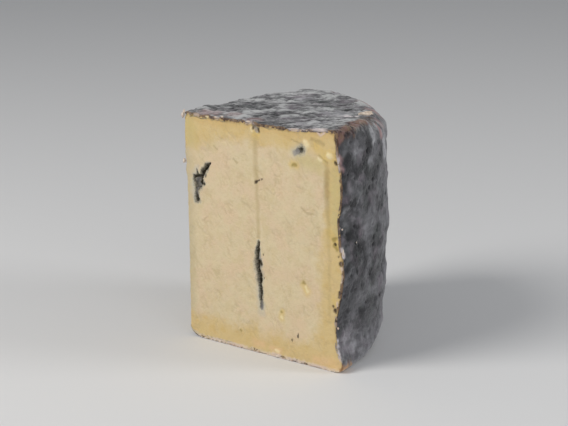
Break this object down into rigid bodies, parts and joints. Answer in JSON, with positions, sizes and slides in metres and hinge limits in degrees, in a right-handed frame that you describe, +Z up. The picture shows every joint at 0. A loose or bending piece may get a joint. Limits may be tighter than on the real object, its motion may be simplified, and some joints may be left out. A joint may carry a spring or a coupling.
{
  "type": "blue cheese wedge",
  "caption": "Quarter of an upright round of natural-rind blue cheese, with two flat knife cuts, mouldy cracks in the pale paste and a grey wrinkled rind.",
  "frame": {"origin": "on the base, under the middle of the bounding box", "axes": "+Z up along the round's own axis; the knife cut that shows faces -Y, the other cut faces -X, and the curved rind faces +X and +Y"},
  "size_m": [0.103, 0.1018, 0.1199],
  "materials": {
    "paste": "moist pale yellow cheese paste, matt, deeper yellow under the rind",
    "rind": "dry grey mould bloom over a dark wrinkled rind, with brown rubbed patches at the top rim",
    "mould": "blue-green black mould in the open cracks and needle channels"
  },
  "bodies": {
    "root": {"cheese_wedge": "paste"}
  },
  "joints": []
}
